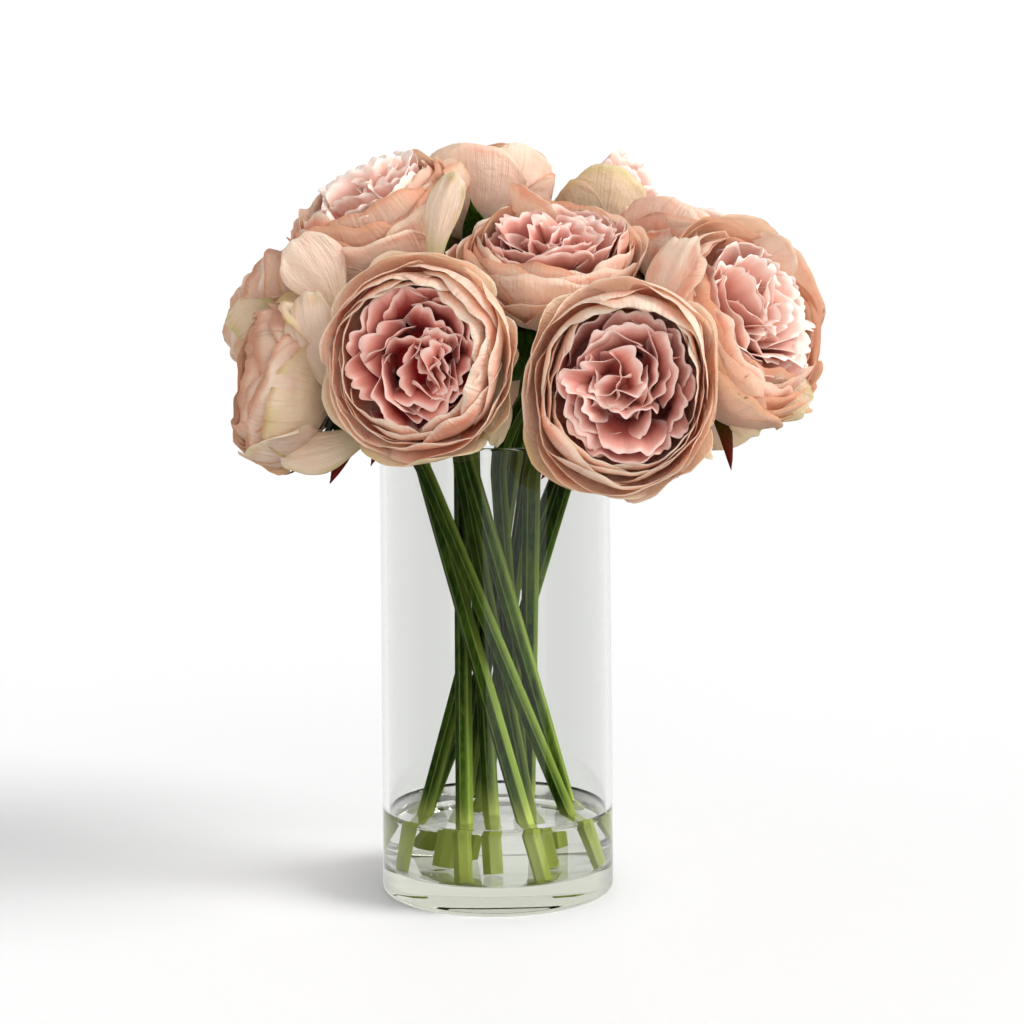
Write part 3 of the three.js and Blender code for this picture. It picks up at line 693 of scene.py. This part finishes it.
def make_stem(bloom, tree, material):
    """A ribbed stem, the calyx on its end, its sepals and any that hang clear."""
    cloth = Cloth()
    chance = bloom.chance
    line = stem_line(bloom) * MM
    path = bpy.data.meshes.new("stem_line")
    path.from_pydata([tuple(p) for p in line], [(k, k + 1) for k in range(len(line) - 1)], [])
    values = {"Radius": STEM_RADIUS * MM, "Ribs": STEM_RIBS, "Rib Depth": RIB_DEPTH, "Skin": material}
    swept = tree.applied(path, values)
    count = len(swept.vertices)
    places = np.zeros(count * 3, np.float32)
    swept.vertices.foreach_get("co", places)
    along, rib = np.zeros(count, np.float32), np.zeros(count, np.float32)
    swept.attributes["along"].data.foreach_get("value", along)
    swept.attributes["rib"].data.foreach_get("value", rib)
    faces = []
    ends = []
    for polygon in swept.polygons:
        corners = tuple(polygon.vertices)
        if len(corners) == 4:
            faces.append(corners)
        else:
            first = corners[0]
            ends += [(first, low, high, high) for low, high in zip(corners[1:-1], corners[2:])]
    rings = places.reshape(-1, STEM_SIDES, 3)
    outward = (rings - rings.mean(1, keepdims=True)) / (STEM_RADIUS * MM)
    marks = np.zeros((count, 6))
    marks[:, 0] = rib * 2 - 1
    marks[:, 1] = along * 0.98
    # The moss mark of a stem holds its painted lit side: how far each corner faces the key sun.
    marks[:, 5] = np.clip(outward.reshape(-1, 3) @ PAINTED_LIT_SIDE, 0, 1)
    cloth.add(places.reshape(-1, 3).astype(float) / MM, np.array(faces + ends), marks, rounded=False)

    calyx = [(0, -7.5), (3.3, -7.5), (3.9, -5.5), (6.6, -3.2), (8, -1.2), (7.6, 0), (0, 0)]
    cloth.shell(calyx, 24, bloom.place, 0.99)
    for k in range(SEPALS):
        angle = 2 * math.pi * (k + 0.4 * chance.uniform()) / SEPALS
        grid = sepal(bloom, angle, chance.uniform(38, 62), chance.uniform(6.8, 8.6), chance.uniform(0.5, 2))
        cloth.blade(bloom.settled(grid, 0.2), LEAF, chance.uniform(), along_from=1.0)
    for knee, tip, half in LEAVES.get(bloom.number, ()):
        cloth.blade(hanging_leaf(bloom.calyx, knee, tip, half), LEAF, 0.8, along_from=1.0)
    name = f"Stem_{bloom.number:02d}"
    finished(cloth.mesh(name), name, material, "stems", name.lower())


# ---- Materials ----

class Tone:
    """A socket of a material's nodes that Python's own signs work on."""

    def __init__(self, paint, socket):
        self.paint = paint
        self.socket = socket

    def sum(self, operation, *values):
        sockets = {k: value for k, value in enumerate(values)}
        return self.paint.node("ShaderNodeMath", {"operation": operation}, sockets)

    def __add__(self, other):
        return self.sum("ADD", self, other)

    def __radd__(self, other):
        return self.sum("ADD", other, self)

    def __sub__(self, other):
        return self.sum("SUBTRACT", self, other)

    def __rsub__(self, other):
        return self.sum("SUBTRACT", other, self)

    def __mul__(self, other):
        return self.sum("MULTIPLY", self, other)

    def __rmul__(self, other):
        return self.sum("MULTIPLY", other, self)

    def clamped(self):
        made = self.sum("MULTIPLY", self, 1.0)
        made.socket.node.use_clamp = True
        return made

    def between(self, low, high):
        """0 where this is low, 1 where it is high, smooth in between."""
        return self.paint.node("ShaderNodeMapRange", {"interpolation_type": "SMOOTHSTEP"},
                               {"Value": self, "From Min": low, "From Max": high})


class Paint:
    """A material and its nodes."""

    def __init__(self, name):
        self.material = bpy.data.materials.new(name)
        self.material.use_nodes = True
        self.tree = self.material.node_tree
        self.surface = self.tree.nodes["Principled BSDF"]

    def node(self, kind, settings=None, sockets=None, output=0):
        made = self.tree.nodes.new(kind)
        for key, value in (settings or {}).items():
            setattr(made, key, value)
        for key, value in (sockets or {}).items():
            self.fill(made.inputs[key], value)
        return Tone(self, made.outputs[output])

    def fill(self, socket, value):
        """Links a tone to a socket, or writes a plain number, colour or vector there."""
        if isinstance(value, Tone):
            self.tree.links.new(value.socket, socket)
        elif socket.type == "RGBA":
            socket.default_value = (*value, 1)
        else:
            socket.default_value = value

    def mark(self, name):
        """A number kept on every point of the mesh."""
        return self.node("ShaderNodeAttribute", {"attribute_name": name}, output="Fac")

    def chart(self):
        """Across and along a petal, each from 0 to 1."""
        across = self.node("ShaderNodeUVMap", {"uv_map": "petal_chart"})
        parts = self.node("ShaderNodeSeparateXYZ", sockets={0: across})
        return parts, Tone(self, parts.socket.node.outputs[1])

    def stretched(self, across, along, tint=None):
        """Petal chart coordinates for a pattern, with the petal's tint to tell one petal from the next."""
        x, y = self.chart()
        sockets = {0: x * across, 1: y * along}
        if tint is not None:
            sockets[2] = tint * 37.0
        return self.node("ShaderNodeCombineXYZ", sockets=sockets)

    def noise(self, vector, scale, detail, roughness=0.5):
        sockets = {"Vector": vector, "Scale": scale, "Detail": detail, "Roughness": roughness}
        return self.node("ShaderNodeTexNoise", sockets=sockets)

    def mixed(self, factor, first, second):
        """Two colours mixed by a factor."""
        return self.node("ShaderNodeMix", {"data_type": "RGBA"}, {0: factor, 6: first, 7: second}, output=2)

    def feed(self, **sockets):
        """Values and links for the surface shader, with spaces written as underscores."""
        for key, value in sockets.items():
            self.fill(self.surface.inputs[key.replace("_", " ")], value)

    def thin(self, share, colour):
        """Lets a share of the light through, in one colour."""
        out = self.tree.nodes["Material Output"].inputs["Surface"]
        through = self.node("ShaderNodeBsdfTranslucent", sockets={"Color": colour})
        both = self.node("ShaderNodeMixShader", sockets={0: share})
        self.tree.links.new(self.surface.outputs[0], both.socket.node.inputs[1])
        self.tree.links.new(through.socket, both.socket.node.inputs[2])
        self.tree.links.new(both.socket, out)

    def bumped(self, height, distance, strength):
        sockets = {"Height": height, "Distance": distance, "Strength": strength}
        self.feed(Normal=self.node("ShaderNodeBump", sockets=sockets))


def linear(red, green, blue):
    """A colour given as screen values from 0 to 255."""
    shares = (red / 255, green / 255, blue / 255)
    return tuple(v / 12.92 if v <= 0.04045 else ((v + 0.055) / 1.055) ** 2.4 for v in shares)


def cup_cloth():
    """Outer petals: cream, fawn and salmon in soft patches, finely veined. The outermost have yellow-green
    roots and sides. Painted shade darkens the inner petals below their edges and to deep red down at their
    roots, and the cream on some petals' edges is partly a painted highlight."""
    paint = Paint("peach_cup_cloth")
    along = paint.chart()[1]
    edge = paint.mark("edge")
    tint = paint.mark("tint")
    blush = paint.mark("blush")
    moss = paint.mark("moss")
    folds = paint.noise(paint.stretched(9.0, 1.1, tint), 1.0, 2.0, 0.45)
    veins = paint.noise(paint.stretched(46.0, 1.6, tint), 1.0, 2.0, 0.5)
    cloud = paint.noise(paint.stretched(2.0, 2.4, tint), 1.0, 2.0, 0.5)
    patch = paint.noise(paint.stretched(3.6, 3.0, tint + 0.5), 1.0, 2.0, 0.5)
    creases = paint.noise(paint.stretched(7.0, 6.0, tint + 0.2), 1.0, 3.0, 0.6)
    cream = paint.mixed(tint.between(0.0, 0.6), linear(196, 162, 128), linear(255, 247, 232))
    cream = paint.mixed(moss.between(0.25, 0.9), cream, linear(244, 234, 204))
    salmon = paint.mixed(blush, linear(253, 210, 186), linear(246, 154, 118))
    amount = cloud.between(0.34, 0.72) * (0.22 + blush * 0.8) * (1 - moss * 0.6) + (veins - 0.47) * 0.5
    colour = paint.mixed(amount.clamped(), cream, salmon)
    # Painted shade: a darker orange band below each inner petal's edge, where the petal in front shades it.
    fold_shade = (1 - along.between(0.66, 0.95)) * (1 - moss) * 0.14
    colour = paint.mixed(fold_shade, colour, linear(230, 132, 94))
    band = edge.between(0.0, 0.8) * patch.between(0.4, 0.7) * (1 - moss * 0.7)
    colour = paint.mixed((band * 0.55).clamped(), colour, linear(230, 142, 108))
    green = linear(202, 208, 112)
    outer = moss.between(0.0, OUTSIDE * 0.8)
    root = (1 - (along + cloud * 0.3 - 0.15).between(0.0, 0.45)) * (0.1 + 0.6 * tint) * outer
    side = moss.between(0.12, 0.65) * edge.between(0.2, 1.0) * patch.between(0.36, 0.62)
    colour = paint.mixed((root + side).clamped(), colour, green)
    # The edges turn orange on some petals and pale cream on others; the cream is partly a painted highlight.
    rim = paint.mixed(tint.between(0.35, 0.6), linear(232, 166, 130), linear(255, 247, 230))
    colour = paint.mixed((edge.between(0.6, 1.0) * (0.85 - moss * 0.5)).clamped(), colour, rim)
    # Painted shade: the inner petals darken to deep red down at their roots, in the cup's depths.
    depth = (1 - along.between(0.2, 0.75)) * (1 - outer) * 0.85
    colour = paint.mixed(depth.clamped(), colour, linear(182, 70, 66))
    paint.feed(Base_Color=colour, Roughness=0.62, Sheen_Weight=0.05, Sheen_Roughness=0.5,
               Specular_IOR_Level=0.22)
    paint.thin(0.46, linear(255, 232, 212))
    grain = paint.noise(paint.stretched(150.0, 120.0), 1.0, 2.0)
    paint.bumped(folds * 0.5 + creases * 0.7 + veins * 0.4 + grain * 0.06, 0.003, 0.8)
    return paint.material


def heart_cloth():
    """Inner petals: dusty pink faces, paler tips, and maroon folds that are partly painted shade."""
    paint = Paint("dusty_pink_heart_cloth")
    along = paint.chart()[1]
    edge = paint.mark("edge")
    tint = paint.mark("tint")
    blush = paint.mark("blush")
    veins = paint.noise(paint.stretched(26.0, 2.0, tint), 1.0, 4.0, 0.6)
    cloud = paint.noise(paint.stretched(2.2, 2.6, tint), 1.0, 3.0, 0.55)
    body = paint.mixed(blush, linear(254, 232, 218), linear(238, 156, 138))
    # deep is the maroon down in the folds: partly the petals' own colour and partly painted shade.
    deep = paint.mixed(blush, linear(248, 184, 162), linear(158, 20, 22))
    shade = (1 - (along + cloud * 0.3 - 0.15).between(0.5, 0.97)) * 0.98 + (veins - 0.4) * 0.3
    colour = paint.mixed(shade.clamped(), body, deep)
    tip = (edge.between(0.15, 1.0) * (0.25 + cloud * 0.75)).clamped()
    colour = paint.mixed(tip, colour, paint.mixed(blush, linear(255, 246, 236), linear(254, 232, 220)))
    paint.feed(Base_Color=colour, Roughness=0.6, Sheen_Weight=0.05, Sheen_Roughness=0.5,
               Specular_IOR_Level=0.25)
    paint.thin(0.1, linear(255, 176, 150))
    grain = paint.noise(paint.stretched(90.0, 70.0), 1.0, 2.0)
    paint.bumped(veins * 0.8 + grain * 0.2, 0.0005, 0.6)
    return paint.material


def stem_green():
    """Stems and sepals: deep moulded green with fine streaks. The side facing the key sun is painted paler,
    painted highlights run along the ridges and the foot in the water is painted lighter. Some sepals turn
    reddish towards the tip."""
    paint = Paint("ribbed_stem_green")
    across, along = paint.chart()
    tint = paint.mark("tint")
    place = paint.node("ShaderNodeTexCoord", output="Object")
    drawn_out = paint.node("ShaderNodeMapping", sockets={"Vector": place, "Scale": (700.0, 700.0, 30.0)})
    streaks = paint.noise(drawn_out, 1.0, 3.0)
    cloud = paint.noise(place, 40.0, 3.0)
    green = paint.mixed(streaks.between(0.35, 0.7), linear(24, 42, 4), linear(50, 74, 14))
    green = paint.mixed((cloud.between(0.4, 0.75) * 0.35).clamped(), green, linear(88, 108, 34))
    # Painted light: the side of a stem that faces the key sun is painted paler green.
    pale = paint.mark("moss")
    green = paint.mixed(pale.between(0.3, 0.9) * 0.85, green, linear(122, 142, 60))
    # Painted highlight: thin paler lines along the ridges.
    ridge_highlight = 1 - across.between(0.0, 0.45)
    green = paint.mixed((ridge_highlight * (1 - along.between(0.97, 1.0)) * 0.3).clamped(), green, linear(150, 172, 82))
    # Painted light: the foot, down in the water, is painted lighter yellow green.
    foot = 1 - along.between(0.04, 0.14)
    green = paint.mixed((foot * 0.85).clamped(), green, linear(196, 208, 104))
    red = along.between(1.45, 1.95) * tint.between(0.3, 0.7)
    green = paint.mixed(red, green, linear(96, 26, 20))
    paint.feed(Base_Color=green, Roughness=0.5, Specular_IOR_Level=0.04)
    paint.bumped(streaks * 0.7 + cloud * 0.3, 0.0004, 0.6)
    return paint.material


def soaked(paint, colour, density):
    """Colour that deepens with the thickness looked through."""
    volume = paint.node("ShaderNodeVolumeAbsorption", sockets={"Color": colour, "Density": density})
    paint.tree.links.new(volume.socket, paint.tree.nodes["Material Output"].inputs["Volume"])


def clear_glass():
    """Soda glass, faintly green through its thickness, with slight draw lines."""
    paint = Paint("clear_soda_glass")
    place = paint.node("ShaderNodeTexCoord", output="Object")
    turned_place = paint.node("ShaderNodeMapping", sockets={"Vector": place, "Scale": (40.0, 40.0, 2.0)})
    lines = paint.noise(turned_place, 1.0, 2.0)
    paint.feed(Base_Color=(0.89, 0.895, 0.885), Roughness=0.0, IOR=1.47, Transmission_Weight=1.0)
    paint.bumped(lines, 0.0004, 0.06)
    soaked(paint, (0.8, 0.82, 0.7), 12.0)
    return paint.material


def still_water():
    """Clear water with the slightest ripple."""
    paint = Paint("still_water")
    place = paint.node("ShaderNodeTexCoord", output="Object")
    ripple = paint.noise(place, 30.0, 2.0)
    paint.feed(Base_Color=(0.98, 0.985, 0.97), Roughness=0.0, IOR=1.333, Transmission_Weight=1.0)
    paint.bumped(ripple, 0.0008, 0.1)
    soaked(paint, (0.85, 0.88, 0.7), 3.0)
    return paint.material


# ---- Vase and water ----

def turned(profile, sides, name):
    """A closed turned mesh from (radius, height) points in millimetres that start and end on the axis."""
    turns = np.arange(sides) * 2 * math.pi / sides
    places = [(0, 0, profile[0][1])]
    for radius, height in profile[1:-1]:
        places += [(radius * math.cos(a), radius * math.sin(a), height) for a in turns]
    places.append((0, 0, profile[-1][1]))
    mesh = bpy.data.meshes.new(name)
    mesh.from_pydata([tuple(v * MM for v in p) for p in places], [], turned_faces(len(profile) - 2, sides))
    mesh.polygons.foreach_set("use_smooth", np.ones(len(mesh.polygons), bool))
    return mesh


def arc(centre, radius, start, end, steps):
    """Points of a profile round a corner, angles in degrees."""
    turns = np.radians(np.linspace(start, end, steps))
    return [(centre[0] + radius * math.cos(a), centre[1] + radius * math.sin(a)) for a in turns]


def make_vase(material):
    """The glass: a rounded foot, a straight wall with a rounded lip, and a bore over a thick floor."""
    bore = VASE_RADIUS - WALL
    lip = WALL / 2
    foot = 2.4
    profile = [(0, 0.5), (VASE_RADIUS - 14, 0.4), (VASE_RADIUS - 10, 0)]
    profile += arc((VASE_RADIUS - foot, foot), foot, -90, 0, 8)
    profile += [(VASE_RADIUS, h) for h in np.linspace(8, VASE_HEIGHT - 6, 24)]
    profile += arc((VASE_RADIUS - lip, VASE_HEIGHT - lip), lip, 0, 180, 12)
    profile += [(bore, h) for h in np.linspace(VASE_HEIGHT - 6, FLOOR + HEEL + 2, 24)]
    profile += arc((bore - HEEL, FLOOR + HEEL), HEEL, 0, -90, 8)
    profile += [(bore - 14, FLOOR - 0.3), (0, FLOOR - 0.9)]
    mesh = turned(profile, ROUND_SIDES, "Vase_Glass")
    glass = finished(mesh, "Vase_Glass", material, "vase_glass", "vase")
    glass.visible_shadow = False


def make_water(material):
    """The water, a hair into the glass all round and drawn up at its edge."""
    bore = VASE_RADIUS - WALL + 0.08
    profile = [(0, FLOOR - 0.98), (bore - 14, FLOOR - 0.38)]
    profile += arc((bore - HEEL, FLOOR + HEEL - 0.08), HEEL, -90, 0, 8)
    profile += [(bore, h) for h in np.linspace(FLOOR + HEEL + 1, WATER_LEVEL + 1.0, 8)]
    profile += [(bore - 0.4, WATER_LEVEL + 0.5), (bore - 1.0, WATER_LEVEL + 0.15), (bore - 2.4, WATER_LEVEL)]
    profile += [(bore - 16, WATER_LEVEL - 0.05), (0, WATER_LEVEL - 0.05)]
    mesh = turned(profile, ROUND_SIDES, "Water_Body")
    finished(mesh, "Water_Body", material, "water", "water")


# ---- Everything together ----

cup_material = cup_cloth()
heart_material = heart_cloth()
stem_material = stem_green()
stem_tree = ribbed_stem_tree()
for index, row in enumerate(BLOOMS):
    bloom = Bloom(index + 1, row)
    make_cup(bloom, cup_material)
    make_heart(bloom, heart_material)
    make_stem(bloom, stem_tree, stem_material)
make_vase(clear_glass())
make_water(still_water())


# ---- Floor, light and camera ----

# How bright the surroundings are. The camera sees BACKGROUND, fading to SIDES where glass or water turns the
# view far to the left or right. A reflection sees MIRRORED at the front and BACKGROUND behind. What lights
# the cloth is SHADED on the left, OPEN on the right, FRONT from the camera's side, TOP from above and BELOW
# from under the floor's level.
BACKGROUND = 1.02
MIRRORED = 0.02
SHADED = 1.02
OPEN = 0.88
FRONT = 1.34
TOP = 0.25
BELOW = 0.5
SIDES = 0.72
# Soft suns: name, strength, how wide (degrees) and from where.
SUNS = [
    ("Key", 2.65, 30, (0.83, -0.24, 0.56)),
    ("Fill", 1.1, 70, (0.35, -0.92, 0.12)),
]
FLOOR_REACH = 60.0
FLOOR_LEVEL = -0.0005


def pale_floor():
    mesh = bpy.data.meshes.new("Floor")
    corners = ((-1, -1), (1, -1), (1, 1), (-1, 1))
    places = [(x * FLOOR_REACH, y * FLOOR_REACH, FLOOR_LEVEL) for x, y in corners]
    mesh.from_pydata(places, [], [(0, 1, 2, 3)])
    floor = bpy.data.objects.new("Floor", mesh)
    bpy.context.scene.collection.objects.link(floor)
    paint = Paint("pale_floor")
    paint.feed(Base_Color=(0.97, 0.97, 0.97), Roughness=0.6, Specular_IOR_Level=0.2)
    mesh.materials.append(paint.material)
    floor.visible_glossy = False
    floor.visible_transmission = False
    floor.visible_diffuse = False


def soft_light():
    scene = bpy.context.scene
    world = bpy.data.worlds.new("Studio")
    scene.world = world
    world.use_nodes = True
    tree = world.node_tree
    white = tree.nodes["Background"]
    white.inputs["Color"].default_value = (1, 1, 1, 1)
    ray = tree.nodes.new("ShaderNodeLightPath")

    def stepped(socket, low, high, start=0.0, end=1.0):
        """A strength that goes from low to high while the socket goes from start to end."""
        made = tree.nodes.new("ShaderNodeMapRange")
        tree.links.new(socket, made.inputs["Value"])
        for key, value in (("From Min", start), ("From Max", end), ("To Min", low), ("To Max", high)):
            if isinstance(value, bpy.types.NodeSocket):
                tree.links.new(value, made.inputs[key])
            else:
                made.inputs[key].default_value = value
        return made.outputs[0]

    place = tree.nodes.new("ShaderNodeTexCoord")
    parts = tree.nodes.new("ShaderNodeSeparateXYZ")
    tree.links.new(place.outputs["Generated"], parts.inputs[0])
    x, y, z = parts.outputs
    behind = stepped(y, MIRRORED, BACKGROUND, -0.2, 0.7)
    side = stepped(x, SHADED, OPEN, -0.8, 0.8)
    facing = stepped(y, FRONT, side, -0.9, 0.1)
    above = stepped(z, facing, TOP)
    below = stepped(z, BELOW, above, -0.8, 0.1)
    aside = tree.nodes.new("ShaderNodeMath")
    aside.operation = "ABSOLUTE"
    tree.links.new(x, aside.inputs[0])
    bent = stepped(aside.outputs[0], BACKGROUND, SIDES, 0.5)
    through = stepped(ray.outputs["Transmission Depth"], BACKGROUND, bent)
    glossy = stepped(ray.outputs["Glossy Depth"], through, behind)
    tree.links.new(stepped(ray.outputs["Diffuse Depth"], glossy, below), white.inputs["Strength"])
    for name, strength, width, towards in SUNS:
        sun = bpy.data.lights.new(name, "SUN")
        sun.energy = strength
        sun.angle = math.radians(width)
        lamp = bpy.data.objects.new(name, sun)
        spot = Vector(towards)
        lamp.matrix_world = Matrix.Translation(spot) @ spot.to_track_quat("Z", "Y").to_matrix().to_4x4()
        lamp.visible_glossy = False
        scene.collection.objects.link(lamp)


def front_camera():
    scene = bpy.context.scene
    lens = bpy.data.cameras.new("Front")
    lens.lens = 56.85
    lens.sensor_width = 36
    lens.shift_y = -0.0786
    camera = bpy.data.objects.new("Front", lens)
    level = Matrix.Rotation(math.radians(90), 4, "X")
    roll = Matrix.Rotation(math.radians(-0.5), 4, "Z")
    camera.matrix_world = Matrix.Translation((0.008, -0.740, 0.207)) @ level @ roll
    scene.collection.objects.link(camera)
    scene.camera = camera


pale_floor()
soft_light()
front_camera()
scene = bpy.context.scene
scene.view_settings.view_transform = "Standard"
scene.cycles.max_bounces = 16
scene.cycles.diffuse_bounces = 6
scene.cycles.transmission_bounces = 16
